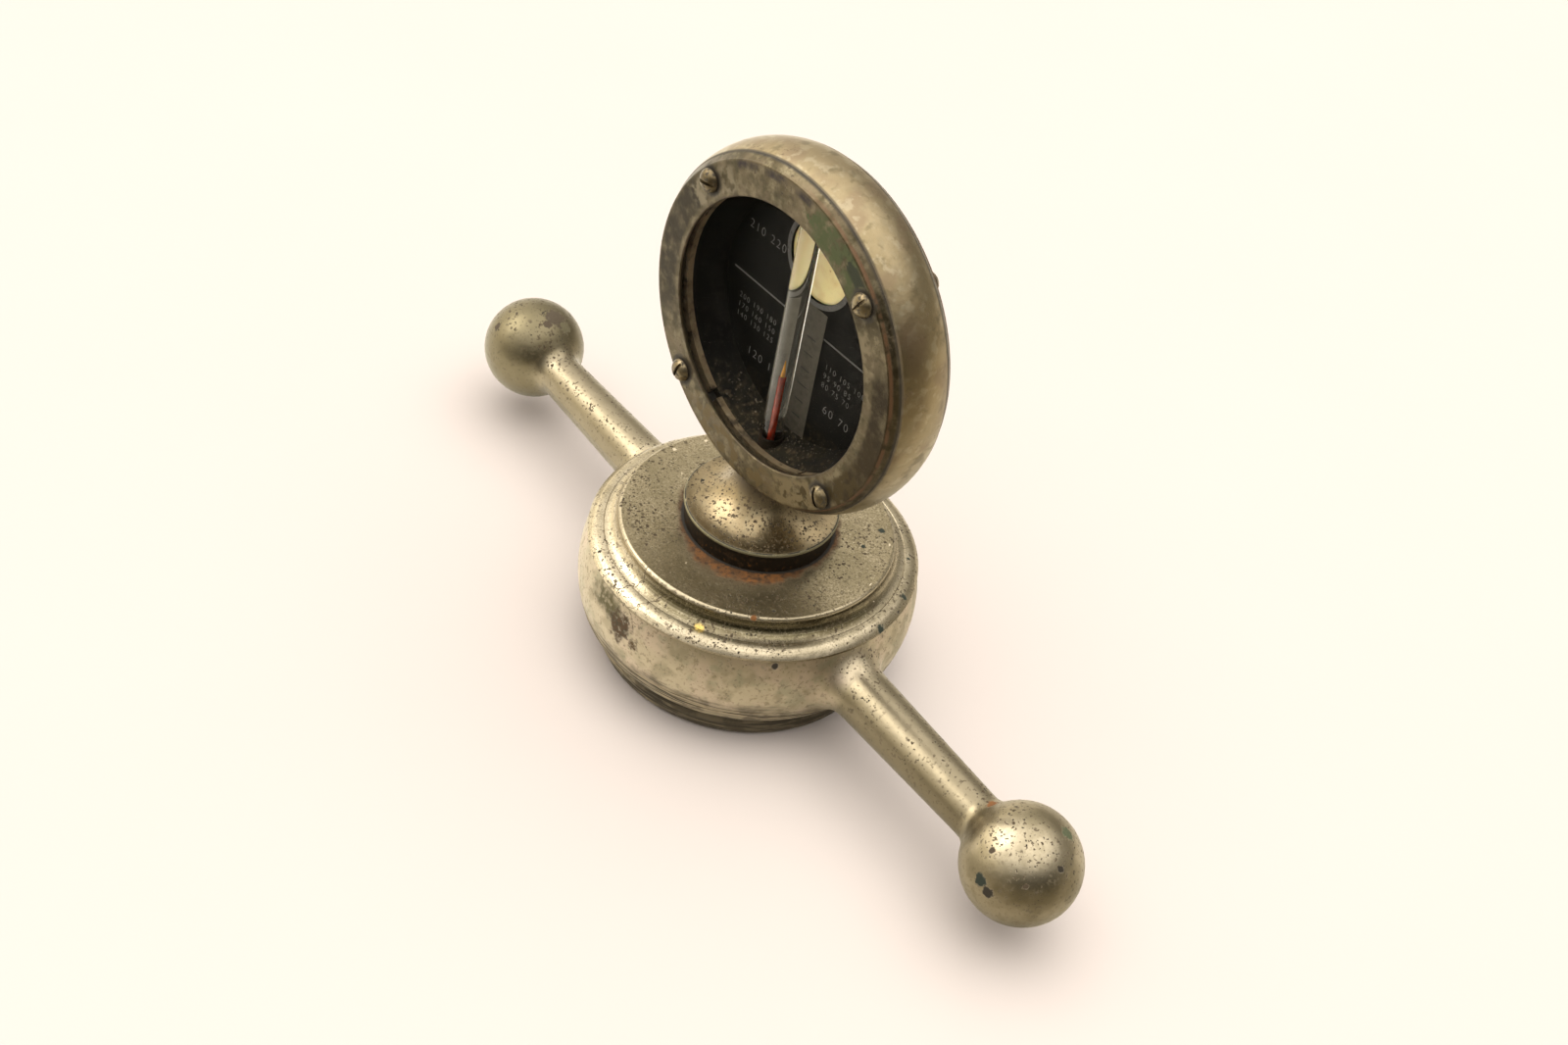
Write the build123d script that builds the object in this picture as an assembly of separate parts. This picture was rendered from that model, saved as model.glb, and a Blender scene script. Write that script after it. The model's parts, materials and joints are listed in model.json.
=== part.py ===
"""Radiator-cap temperature gauge: a two-sided gauge case on a ball-ended filler cap.

Millimetres. +Z is up and the cap stands on z = 0. The arms lie along X and the front of the
dial faces -Y. The cap, the stud and the pedestal share the Z axis; everything in the gauge's
case is turned about the case axis, which runs along Y at height CASE_Z.
"""
from build123d import *
import os
from math import atan2, cos, radians, sin, sqrt

# ---- driving dimensions: the cap ----
TOP_Z = 37.2            # flat top
TOP_R = 32.8            # rim of the flat top
TOP_ROUND = 0.8         # rounding of that rim
COVE_FOOT_R = 35.7      # where the cove runs out on the flange
COVE_FOOT_Z = 32.6
COVE_MIDDLE = (33.65, 33.7)
FLANGE_R = 39.4         # sharp rim of the flange
FLANGE_Z = 30.9
FLANGE_UNDER_Z = 30.0
WALL_TOP_R = 38.2       # where the wall meets the flange
WALL_TOP_Z = 32.0
BELLY_R = 40.7          # widest part of the wall
BELLY_Z = 20.5
TUCK_R = 39.4           # where the wall starts to turn in under the belly
TUCK_Z = 12.5
TUCK_MIDDLE = (37.75, 9.4)
WAIST_R = 34.9          # groove between wall and foot ring
WAIST_Z = 7.0
FOOT_R = 34.9
FOOT_REST_R = 32.6      # outer edge of the flat that the cap stands on
FOOT_INNER_R = 28.0     # the foot ring overlaps the wall down to here
MOUTH_R = 30.0          # bore that holds the threaded insert
CAVITY_R = 25.6
CEILING_Z = 33.0

# ---- driving dimensions: the arms ----
ARM_Z = 19.9            # height of the arms' axis
ARM_ROOT_R = 7.05
ARM_TIP_R = 5.85
ARM_ROOT_X = 36.0
BALL_X = 99.2           # ball centre from the cap's axis
BALL_R = 13.3
BALL_FILLET = 4.5
ROOT_FILLET = 6.0

# ---- driving dimensions: thread and clamping ----
THREAD_R = 27.0         # crest radius of the neck thread
THREAD_Z0 = 1.0
THREAD_Z1 = 12.6
NECK_GASKET_Z = 14.8    # top of the neck gasket
STUD_R = 6.5
STUD_BORE_R = 4.6
STUD_Z0 = 23.6
STUD_Z1 = 47.6
STUD_CLEARANCE = 0.05
SEAT_Z = 41.8           # underside of the pedestal
SEAT_GASKET_R = 17.6
LOOSE = 0.1             # how much wider than the stud a washer's hole is
WASHER_R = 12.5
WASHER_T = 1.4
SPRING_WASHER_R = 10.2
NUT_FLATS = 20.0
NUT_T = 4.8
LIP_R = 18.3            # rounded lip of the pedestal
LIP_H = 1.1
FLARE_MIDDLE = (10.2, 45.9)
NECK_R = 6.2            # pedestal's neck under the case
NECK_Z = 53.4
SPIGOT_R = 5.6
SPIGOT_Z = 58.9

# ---- driving dimensions: the gauge's case ----
CASE_Z = 92.3           # height of the case axis
CROWN_R = 41.25         # widest part of the case ring
SEAM_R = 39.7           # case radius where ring and bezel meet
SEAM_Y = 6.4
FACE_Y = 8.5            # flat face of each bezel
FACE_R = 38.3           # edge of that face
LIP_Y = 7.7             # inner side of the bezel's lip
APERTURE_R = 30.5
BORE_R = 33.2           # bore of the case ring
GLASS_OUT_Y = 7.4
GLASS_IN_Y = 5.9
GLASS_R = 33.0
INNER_R = 33.1          # outside of the rings and plates held in the bore
RETAINER_R = 31.0
SCREW_CIRCLE_R = 35.2
SCREW_HEAD_R = 2.7
SCREW_HEAD_H = 2.0
SCREW_R = 1.2
SCREW_LENGTH = 5.6       # under the head
TAP_DEPTH = 4.6
SLOT_W = 0.75
SLOT_TURNS = (62, 8, 75, 118)
RING_GAP = 2.4
FRONT_GAP_ANGLE = -121
FRONT_NOTCH_ANGLE = -61
REAR_GAP_ANGLE = -60
REAR_NOTCH_ANGLE = -121
NOTCH_W = 1.0           # plier notch in a retaining ring
NOTCH_DEPTH = 0.8

# ---- driving dimensions: dial and thermometer ----
SURROUND_Y0 = -4.3        # front edge of the dial's tapered surround
DIAL_Y = 3.0            # front of the dial plate
DIAL_T = 0.6
DIAL_SIGHT_R = 28.0     # how much of the dial shows
WINDOW_Z = CASE_Z + 16.2
WINDOW_HOLE_R = 9.3
WINDOW_R = 12.0
TUBE_Y = -1.4           # the thermometer stands in front of the dial
TUBE_R = 2.45
TUBE_Z0 = 16.0
TUBE_Z1 = 123.0
TUBE_BORE_R = 0.55
COLUMN_R = 0.5
COLUMN_Z0 = 26.0
COLUMN_Z1 = 80.5
BORE_TOP_Z = 118.0      # top of the capillary
BULB_R = 1.9
BULB_Z0 = 18.0
BUSH_R = 2.85
BUSH_TOP_Z = 63.9       # the lower bush stands just proud of the surround
BUSH_CAP_Z = CASE_Z + 28.6
STEM_IN_R = 4.1
STEM_Z0 = 13.6
STEM_Z1 = 46.0
VENT_R = 1.0
VENT_ROWS = (16.2, 19.4)

CASE = Location((0, 0, CASE_Z))
GAUGE_TURN = 2.2        # degrees that the gauge stands turned on its cap, towards +X


# ---- helpers ----
def outline(*points):
    """Closed outline through points; a pair of points marks an arc: (middle, end)."""
    edges = []
    here = points[0]
    for step in points[1:] + (points[0],):
        if isinstance(step[0], tuple):
            middle, end = step
            edges.append(ThreePointArc(here, middle, end))
        else:
            end = step
            if end != here:
                edges.append(Line(here, end))
        here = end
    return edges


def turned_z(*points):
    """Solid turned about Z from an outline of (radius, height) points."""
    face = make_face(Plane.XZ * Curve(children=outline(*points)))
    return revolve(face, Axis.Z)


def turned_y(*points):
    """Solid turned about Y from an outline of (radius, y) points."""
    face = make_face(Curve(children=outline(*points)))
    return revolve(face, Axis.Y)


def tube_z(outer, inner, z0, z1, x=0.0, y=0.0):
    """Upright tube, or a rod where inner is 0."""
    body = Pos(x, y, (z0 + z1) / 2) * Cylinder(outer, z1 - z0)
    if inner:
        body -= Pos(x, y, (z0 + z1) / 2) * Cylinder(inner, z1 - z0 + 2)
    return body


def ring_y(outer, inner, y0, y1):
    """Flat ring or disc about the case axis."""
    if inner:
        points = ((inner, y0), (outer, y0), (outer, y1), (inner, y1))
    else:
        points = ((0, y0), (outer, y0), (outer, y1), (0, y1))
    return CASE * turned_y(*points)


def save(node, shape, turn=0.0):
    """Write one node's solids to its file, turned about Z by so many degrees."""
    shape = Rot(0, 0, turn) * shape
    solids = shape.solids()
    shape = solids[0] if len(solids) == 1 else Compound(children=list(solids))
    export_step(shape, f"parts/{node}.step")


# ---- the cap ----
def arm():
    """Tapered arm with its ball, turned about its own axis, pointing along +X."""
    reach = BALL_R + BALL_FILLET
    lift = ARM_TIP_R + BALL_FILLET
    fillet_x = BALL_X - sqrt(reach**2 - lift**2)
    start = radians(-90)
    end = atan2(-lift, BALL_X - fillet_x)
    middle, touch = [
        (fillet_x + BALL_FILLET * cos(turn), lift + BALL_FILLET * sin(turn))
        for turn in ((start + end) / 2, end)
    ]
    face = make_face(Curve(children=outline(
        (ARM_ROOT_X - 6, 0),
        (ARM_ROOT_X - 6, ARM_ROOT_R),
        (ARM_ROOT_X, ARM_ROOT_R),
        (fillet_x, ARM_TIP_R),
        (middle, touch),
        ((BALL_X, BALL_R), (BALL_X + BALL_R, 0)),
    )))
    return Pos(0, 0, ARM_Z) * revolve(face, Axis.X)


def cap_body():
    """Casting: wall and arms blended together, then the turned top, the foot ring and the mouth."""
    wall = turned_z(
        (0, WAIST_Z - 1),
        (WAIST_R - 1.0, WAIST_Z - 1),
        (WAIST_R, WAIST_Z),
        (TUCK_MIDDLE, (TUCK_R, TUCK_Z)),
        ((BELLY_R, BELLY_Z), (WALL_TOP_R, WALL_TOP_Z)),
        (0, WALL_TOP_Z),
    )
    left, right = Rot(0, 0, 180) * arm(), arm()
    body = wall + left + right
    roots = [e for e in body.edges().filter_by(lambda e: e.geom_type != GeomType.CIRCLE)
             if 33 < abs(e.center().X) < 43 and abs(e.center().Y) < 9]
    body = fillet(roots, ROOT_FILLET)
    above = 10.0
    body -= Pos(0, 0, FLANGE_UNDER_Z + above / 2) * (Cylinder(60, above) - Cylinder(20, above))
    rounding = TOP_ROUND * (1 - cos(radians(45)))
    body += turned_z(
        (0, FLANGE_UNDER_Z - 6),
        (FLANGE_R - 3, FLANGE_UNDER_Z - 6),
        (FLANGE_R - 1.0, FLANGE_UNDER_Z - 0.6),
        (FLANGE_R - 0.3, FLANGE_UNDER_Z),
        (FLANGE_R, FLANGE_Z),
        ((FLANGE_R - 1.4, FLANGE_Z + 1.25), (COVE_FOOT_R + 0.2, COVE_FOOT_Z + 0.1)),
        (COVE_FOOT_R, COVE_FOOT_Z),
        (COVE_MIDDLE, (TOP_R, TOP_Z - TOP_ROUND)),
        ((TOP_R - rounding, TOP_Z - rounding), (TOP_R - TOP_ROUND, TOP_Z)),
        (0, TOP_Z),
    )
    body += turned_z(
        (FOOT_INNER_R, 0),
        (FOOT_REST_R, 0),
        ((FOOT_R - 0.75, 1.3), (FOOT_R, 3.6)),
        ((FOOT_R - 0.2, WAIST_Z - 1.8), (FOOT_R - 1.0, WAIST_Z - 0.6)),
        (FOOT_INNER_R, WAIST_Z - 0.6),
    )
    body -= turned_z(
        (0, -1),
        (MOUTH_R, -1),
        (MOUTH_R, NECK_GASKET_Z),
        (CAVITY_R, NECK_GASKET_Z),
        (CAVITY_R, CEILING_Z - 5),
        ((CAVITY_R - 1.5, CEILING_Z - 1.5), (CAVITY_R - 5, CEILING_Z)),
        (0, CEILING_Z),
    )
    body -= tube_z(STUD_R + STUD_CLEARANCE, 0, CEILING_Z - 5, TOP_Z + 5)
    return body


def thread_ring():
    """Insert for the filler neck, with both ends of its bore chamfered."""
    lead = 0.5
    return turned_z(
        (THREAD_R + lead, THREAD_Z0),
        (MOUTH_R, THREAD_Z0),
        (MOUTH_R, THREAD_Z1),
        (THREAD_R + lead, THREAD_Z1),
        (THREAD_R, THREAD_Z1 - lead),
        (THREAD_R, THREAD_Z0 + lead),
    )


# ---- what fastens the gauge to the cap ----
def pedestal():
    """Trumpet foot: lip, concave flare, and a spigot let into the case ring's hole."""
    lip_z = SEAT_Z + LIP_H
    body = turned_z(
        (STUD_BORE_R, SEAT_Z),
        (LIP_R - 0.5, SEAT_Z),
        ((LIP_R, SEAT_Z + LIP_H / 2), (LIP_R - 0.3, lip_z)),
        (LIP_R - 0.5, lip_z + 0.1),
        (FLARE_MIDDLE, (NECK_R, NECK_Z)),
        (STUD_BORE_R, NECK_Z),
    )
    body -= CASE * turned_y(
        (0, -SEAM_Y - 4),
        (SEAM_R, -SEAM_Y - 4),
        (SEAM_R, -SEAM_Y),
        ((CROWN_R, 0), (SEAM_R, SEAM_Y)),
        (SEAM_R, SEAM_Y + 4),
        (0, SEAM_Y + 4),
    )
    body += tube_z(SPIGOT_R, STUD_BORE_R, NECK_Z - 4, SPIGOT_Z)
    body -= tube_z(STUD_R, 0, SEAT_Z - 1, STUD_Z1)
    return body


def mounting_stud():
    """Hollow stud that passes through the cap."""
    return tube_z(STUD_R, STUD_BORE_R, STUD_Z0, STUD_Z1)


def clamp_nut():
    """Hexagon nut with chamfered corners."""
    z1 = CEILING_Z - 2 * WASHER_T
    z0 = z1 - NUT_T
    corner = NUT_FLATS / sqrt(3)
    body = Pos(0, 0, z0) * extrude(RegularPolygon(corner, 6), z1 - z0)
    body &= turned_z(
        (0, z0), (corner - 1.2, z0), (corner + 0.3, z0 + 0.8), (corner + 0.3, z1 - 0.8),
        (corner - 1.2, z1), (0, z1),
    )
    return body - tube_z(STUD_R, 0, z0 - 1, z1 + 1)


def lock_washer():
    """Split spring washer."""
    z1 = CEILING_Z - WASHER_T
    body = tube_z(SPRING_WASHER_R, STUD_R + LOOSE, z1 - WASHER_T, z1)
    return body - Pos(-SPRING_WASHER_R, 0, z1) * Rot(25, 0, 0) * Box(9, 1.0, 6)


def stem_tube():
    """Perforated brass tube round the bulb, soldered into the stud."""
    body = tube_z(STUD_BORE_R, STEM_IN_R, STEM_Z0, STEM_Z1)
    drill = Pos(STUD_BORE_R, 0, 0) * Rot(0, 90, 0) * Cylinder(VENT_R, STUD_BORE_R)
    for row, z in enumerate(VENT_ROWS):
        for k in range(4):
            body -= Pos(0, 0, z) * Rot(0, 0, 45 * row + 90 * k) * drill
    return body


# ---- the gauge's case ----
def case_ring():
    """Crowned drum with tapped holes for the bezels and a hole for the pedestal's spigot."""
    body = CASE * turned_y(
        (BORE_R, -SEAM_Y),
        (SEAM_R, -SEAM_Y),
        ((CROWN_R, 0), (SEAM_R, SEAM_Y)),
        (BORE_R, SEAM_Y),
    )
    body -= tube_z(SPIGOT_R, 0, NECK_Z - 8, CASE_Z)
    return body - screw_places(Cylinder(SCREW_R, 2 * TAP_DEPTH))


def screw_places(shape):
    """Copies of a shape at the eight screw places, its centre at the seam of ring and bezel."""
    copies = []
    for side in (-1, 1):
        for k in range(4):
            angle = radians(45 + 90 * k)
            x = SCREW_CIRCLE_R * cos(angle)
            z = CASE_Z + SCREW_CIRCLE_R * sin(angle)
            copies.append(Pos(x, side * SEAM_Y, z) * Rot(90, 0, 0) * shape)
    return copies


def bezel(side):
    """Turned bezel: flat face, sloped shoulder, thin lip over the glass. side is -1 in front."""
    body = CASE * turned_y(
        (APERTURE_R, side * LIP_Y),
        (APERTURE_R, side * (FACE_Y - 0.25)),
        (APERTURE_R + 0.25, side * FACE_Y),
        (FACE_R - 0.4, side * FACE_Y),
        ((FACE_R - 0.05, side * (FACE_Y - 0.12)), (FACE_R + 0.15, side * (FACE_Y - 0.4))),
        (SEAM_R, side * SEAM_Y),
        (BORE_R, side * SEAM_Y),
        (BORE_R, side * LIP_Y),
    )
    return body - screw_places(Cylinder(SCREW_R + 0.1, 8))


def screws(side):
    """Four round-head screws, each slot turned its own way."""
    group = []
    for k, turn in enumerate(SLOT_TURNS):
        angle = radians(45 + 90 * k)
        head = turned_z(
            (0, 0),
            (SCREW_HEAD_R - 0.1, 0),
            (SCREW_HEAD_R, 0.5),
            ((SCREW_HEAD_R * 0.72, SCREW_HEAD_H * 0.77), (0, SCREW_HEAD_H)),
        )
        head -= Pos(0, 0, SCREW_HEAD_H) * Rot(0, 0, turn) * Box(8, SLOT_W, 1.8)
        screw = head + tube_z(SCREW_R, 0, -SCREW_LENGTH, 0.3)
        x = SCREW_CIRCLE_R * cos(angle)
        z = CASE_Z + SCREW_CIRCLE_R * sin(angle)
        group.append(Pos(x, side * FACE_Y, z) * Rot(-90 * side, 0, 0) * screw)
    return Compound(children=group)


def retaining_ring(y0, y1, gap_angle, notch_angle):
    """Split ring that holds a glass, with a plier notch; both angles are about the case axis."""
    body = ring_y(INNER_R, RETAINER_R, y0, y1)
    middle = Pos(0, (y0 + y1) / 2, CASE_Z)
    gap = Pos(INNER_R, 0, 0) * Box(10, 8, RING_GAP)
    notch = Pos(RETAINER_R, 0, 0) * Box(2 * NOTCH_DEPTH, 8, NOTCH_W)
    body -= middle * Rot(0, -gap_angle, 0) * gap
    return body - middle * Rot(0, -notch_angle, 0) * notch


def dial_surround():
    """Tapered wall between front ring and dial, bored through at top and bottom for the bushes."""
    body = CASE * turned_y(
        (RETAINER_R + 0.2, SURROUND_Y0),
        (INNER_R, SURROUND_Y0),
        (INNER_R, DIAL_Y),
        (DIAL_SIGHT_R, DIAL_Y),
    )
    return body - tube_z(BUSH_R, 0, 40, 140, y=TUBE_Y)


def rear_plate():
    """Shallow pan behind the dial; its rim keeps room for the window."""
    y0 = DIAL_Y + DIAL_T
    body = ring_y(INNER_R, 0, y0 + DIAL_T, y0 + 2 * DIAL_T)
    body += ring_y(INNER_R, RETAINER_R, y0, y0 + DIAL_T)
    return body - Pos(0, y0, WINDOW_Z) * Rot(90, 0, 0) * Cylinder(WINDOW_HOLE_R, 10)


def dial_plate():
    """Black plate with the window's hole."""
    body = ring_y(INNER_R, 0, DIAL_Y, DIAL_Y + DIAL_T)
    return body - Pos(0, DIAL_Y, WINDOW_Z) * Rot(90, 0, 0) * Cylinder(WINDOW_HOLE_R, 10)


def window():
    """Translucent disc between dial plate and rear plate."""
    y = DIAL_Y + 1.5 * DIAL_T
    return Pos(0, y, WINDOW_Z) * Rot(90, 0, 0) * Cylinder(WINDOW_R, DIAL_T)


# ---- the thermometer ----
def thermometer_tube():
    """Stout glass tube, round at both ends, with a bulb chamber and a capillary."""
    body = tube_z(TUBE_R, 0, TUBE_Z0, TUBE_Z1, y=TUBE_Y)
    body = fillet(body.edges().filter_by(GeomType.CIRCLE), TUBE_R - 0.6)
    body -= tube_z(BULB_R, 0, BULB_Z0, COLUMN_Z0, y=TUBE_Y)
    return body - tube_z(TUBE_BORE_R, 0, COLUMN_Z0 - 1, BORE_TOP_Z, y=TUBE_Y)


def upper_bush():
    """Blind sleeve over the tube's top end."""
    bush = tube_z(BUSH_R, 0, BUSH_CAP_Z, CASE_Z + BORE_R - 0.4, y=TUBE_Y)
    return bush - tube_z(TUBE_R, 0, BUSH_CAP_Z - 1, TUBE_Z1, y=TUBE_Y)


os.makedirs("parts", exist_ok=True)
save("cap_body", cap_body())
save("thread_ring", thread_ring())
save("neck_gasket", tube_z(MOUTH_R, CAVITY_R, THREAD_Z1, NECK_GASKET_Z))
save("seat_gasket", tube_z(SEAT_GASKET_R, STUD_R + 0.3, TOP_Z, SEAT_Z))
save("pedestal", pedestal(), GAUGE_TURN)
save("mounting_stud", mounting_stud(), GAUGE_TURN)
save("plain_washer", tube_z(WASHER_R, STUD_R + LOOSE, CEILING_Z - WASHER_T, CEILING_Z), GAUGE_TURN)
save("lock_washer", lock_washer(), GAUGE_TURN)
save("clamp_nut", clamp_nut(), GAUGE_TURN)
save("stem_tube", stem_tube(), GAUGE_TURN)
save("case_ring", case_ring(), GAUGE_TURN)
save("front_bezel", bezel(-1), GAUGE_TURN)
save("rear_bezel", bezel(1), GAUGE_TURN)
save("front_screws", screws(-1), GAUGE_TURN)
save("rear_screws", screws(1), GAUGE_TURN)
save("front_glass", ring_y(GLASS_R, 0, -GLASS_OUT_Y, -GLASS_IN_Y), GAUGE_TURN)
save("rear_glass", ring_y(GLASS_R, 0, GLASS_IN_Y, GLASS_OUT_Y), GAUGE_TURN)
save("front_seal", ring_y(GLASS_R, RETAINER_R, -LIP_Y, -GLASS_OUT_Y), GAUGE_TURN)
save("rear_seal", ring_y(GLASS_R, RETAINER_R, GLASS_OUT_Y, LIP_Y), GAUGE_TURN)
front_ring = retaining_ring(-GLASS_IN_Y, SURROUND_Y0, FRONT_GAP_ANGLE, FRONT_NOTCH_ANGLE)
rear_ring = retaining_ring(DIAL_Y + 3 * DIAL_T, GLASS_IN_Y, REAR_GAP_ANGLE, REAR_NOTCH_ANGLE)
save("front_retaining_ring", front_ring, GAUGE_TURN)
save("rear_retaining_ring", rear_ring, GAUGE_TURN)
save("dial_surround", dial_surround(), GAUGE_TURN)
save("dial_plate", dial_plate(), GAUGE_TURN)
save("rear_plate", rear_plate(), GAUGE_TURN)
save("window", window(), GAUGE_TURN)
save("thermometer_tube", thermometer_tube(), GAUGE_TURN)
save("spirit_column", tube_z(COLUMN_R, 0, COLUMN_Z0, COLUMN_Z1, y=TUBE_Y), GAUGE_TURN)
save("bulb_spirit", tube_z(BULB_R, 0, BULB_Z0, COLUMN_Z0, y=TUBE_Y), GAUGE_TURN)
save("lower_bush", tube_z(BUSH_R, TUBE_R, CASE_Z - BORE_R + 0.1, BUSH_TOP_Z, y=TUBE_Y), GAUGE_TURN)
save("upper_bush", upper_bush(), GAUGE_TURN)
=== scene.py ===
import json
from math import cos, pi, radians, sin, sqrt
import random

import bpy
from mathutils import Matrix, Quaternion, Vector


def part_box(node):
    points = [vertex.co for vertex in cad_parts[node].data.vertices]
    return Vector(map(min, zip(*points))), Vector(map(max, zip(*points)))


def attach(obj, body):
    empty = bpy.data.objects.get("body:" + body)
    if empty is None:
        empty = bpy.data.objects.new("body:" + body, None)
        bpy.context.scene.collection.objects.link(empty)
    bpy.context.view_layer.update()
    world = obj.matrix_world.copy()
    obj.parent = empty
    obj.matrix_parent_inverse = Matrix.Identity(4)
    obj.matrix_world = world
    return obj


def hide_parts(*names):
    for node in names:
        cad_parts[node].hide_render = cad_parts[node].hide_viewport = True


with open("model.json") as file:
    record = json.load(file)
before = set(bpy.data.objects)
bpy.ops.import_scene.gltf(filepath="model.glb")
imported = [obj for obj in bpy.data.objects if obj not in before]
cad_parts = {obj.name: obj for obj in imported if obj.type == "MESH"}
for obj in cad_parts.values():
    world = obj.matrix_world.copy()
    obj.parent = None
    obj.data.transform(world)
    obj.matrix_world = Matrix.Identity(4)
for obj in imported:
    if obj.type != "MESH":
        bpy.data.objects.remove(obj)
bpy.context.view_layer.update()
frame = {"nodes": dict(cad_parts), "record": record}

MM = 0.001

# ---- sizes and places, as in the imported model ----
# in millimetres, because on_case takes them so: the screws' circle and the bezels' faces
SCREW_CIRCLE = 35.2
FACE_DEPTH = 8.5
CASE_Z = (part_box("front_bezel")[0].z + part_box("front_bezel")[1].z) / 2
GAUGE_TURN = radians(2.2)
THREAD_Z0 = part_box("thread_ring")[0].z
THREAD_Z1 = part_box("thread_ring")[1].z
THREAD_OUTER_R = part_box("thread_ring")[1].x
THREAD_CREST_R = 27.0 * MM
THREAD_PITCH = 2.2 * MM
THREAD_DEPTH = 1.2 * MM
STUD_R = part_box("mounting_stud")[1].x
STUD_Z0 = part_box("mounting_stud")[0].z
STUD_Z1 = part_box("mounting_stud")[1].z
STUD_BORE_R = 4.6 * MM
STUD_PITCH = 1.4 * MM
STUD_DEPTH = 0.6 * MM
BALL_X = 99.2 * MM
ARM_Z = 19.9 * MM
BALL_R = 13.3 * MM
FLANGE_LOW = 30.6 * MM
FLANGE_HIGH = 32.5 * MM
COVE_LOW = 32.7 * MM
COVE_HIGH = 36.2 * MM
CAP_TOP = 37.0 * MM
CASE_SEAM_Y = 6.35 * MM
DIAL_Y = 3.0 * MM
DIAL_SIGHT_R = 28.0 * MM
SURROUND_Y = -4.3 * MM
SURROUND_R = 31.2 * MM
WINDOW_UP = 16.2 * MM
WINDOW_R = 9.3 * MM
TUBE_Y = -1.4 * MM
TUBE_R = 2.45 * MM
TUBE_Z0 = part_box("thermometer_tube")[0].z
TUBE_Z1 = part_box("thermometer_tube")[1].z
COLUMN_TOP_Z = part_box("spirit_column")[1].z

# ---- camera and studio ----
CAMERA_AIM = Vector((14.0, -5.5, 50.0)) * MM
CAMERA_DISTANCE = 0.406
CAMERA_AZIMUTH = radians(45.37)
CAMERA_ELEVATION = radians(40.69)
CAMERA_ROLL = radians(11.98)
CAMERA_LENS = 41.7
SENSOR_WIDTH = 36.0
FLOOR_SIZE = 6.0
BACKGROUND = (1.0, 0.965, 0.89)
LIGHT_COLOUR = (1.0, 0.955, 0.87)
LOW_COLOUR = (1.0, 0.90, 0.68)
SKY = 0.95


# ---- nodes ----
class Graph:
    """Short ways to add the nodes of one tree; values may be numbers or other nodes' outputs."""

    def __init__(self, tree):
        self.tree = tree
        self.tree.nodes.clear()

    def put(self, kind, inputs=None, **settings):
        node = self.tree.nodes.new("ShaderNode" + kind)
        for key, value in settings.items():
            setattr(node, key, value)
        for key, value in (inputs or {}).items():
            self.feed(node.inputs[key], value)
        return node

    def feed(self, socket, value):
        if isinstance(value, bpy.types.NodeSocket):
            self.tree.links.new(value, socket)
        elif isinstance(value, tuple) and len(value) == 3 and socket.type == "RGBA":
            socket.default_value = (*value, 1.0)
        else:
            socket.default_value = value

    def math(self, operation, *values):
        node = self.put("Math", dict(enumerate(values)), operation=operation)
        return node.outputs[0]

    def vector(self, operation, *values):
        node = self.put("VectorMath", dict(enumerate(values)), operation=operation)
        return node.outputs["Value" if operation in ("LENGTH", "DOT_PRODUCT") else "Vector"]

    def ramp(self, value, start, end):
        """0 at start and 1 at end, smooth between them."""
        node = self.put(
            "MapRange",
            {"Value": value, "From Min": start, "From Max": end},
            interpolation_type="SMOOTHSTEP",
        )
        return node.outputs["Result"]

    def band(self, value, low, high, soft):
        """1 from low to high, fading to 0 over soft on each side."""
        rise = self.ramp(value, low - soft, low + soft)
        fall = self.ramp(value, high + soft, high - soft)
        return self.math("MULTIPLY", rise, fall)

    def times(self, first, *others):
        for other in others:
            first = self.math("MULTIPLY", first, other)
        return first

    def mix(self, a, b, share):
        """Colour or number between a and b."""
        if isinstance(a, tuple) or getattr(a, "type", "") == "RGBA":
            node = self.put("Mix", {0: share, 6: a, 7: b}, data_type="RGBA")
            return node.outputs[2]
        node = self.put("Mix", {0: share, 2: a, 3: b}, data_type="FLOAT")
        return node.outputs[0]


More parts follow.
